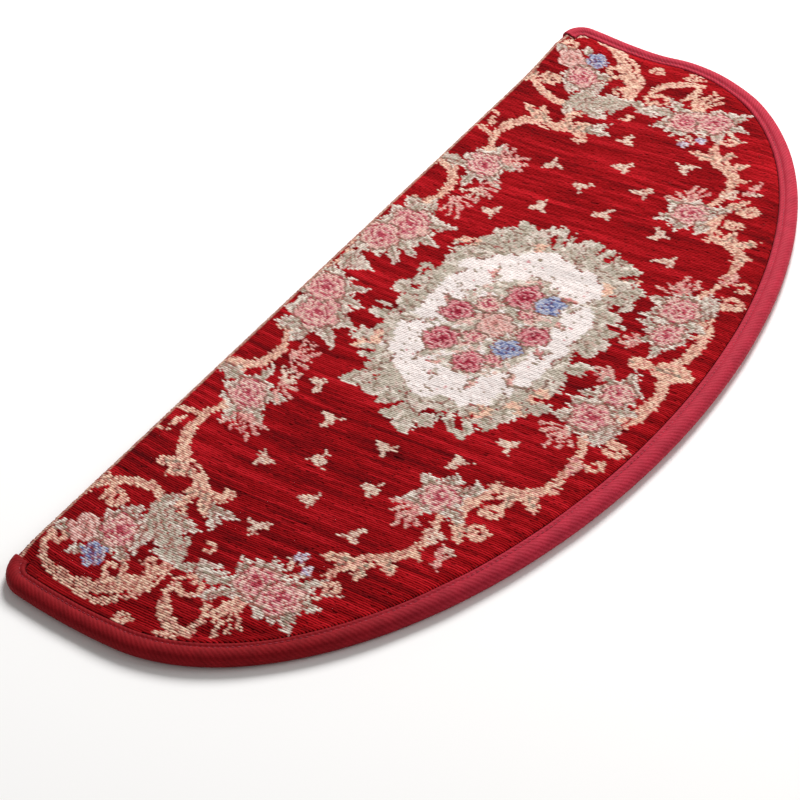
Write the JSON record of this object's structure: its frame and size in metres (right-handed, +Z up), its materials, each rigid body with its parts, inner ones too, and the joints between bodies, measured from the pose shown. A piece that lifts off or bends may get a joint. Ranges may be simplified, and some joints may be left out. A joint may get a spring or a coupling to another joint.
{
  "type": "stair tread mat",
  "caption": "Half-oval padded stair tread mat with a woven chenille face and a sewn binding tape round its curved edge.",
  "frame": {"origin": "on the floor, under the middle of the mat's bounding box", "axes": "+X along the straight edge, +Y towards the straight edge (the curved edge is at -Y), +Z up through the face"},
  "size_m": [0.656, 0.28, 0.0137],
  "materials": {
    "chenille": "short woven chenille pile",
    "tape": "woven polyester tape"
  },
  "bodies": {
    "root": {"mat_body": "chenille", "edge_binding": "tape"}
  },
  "joints": []
}
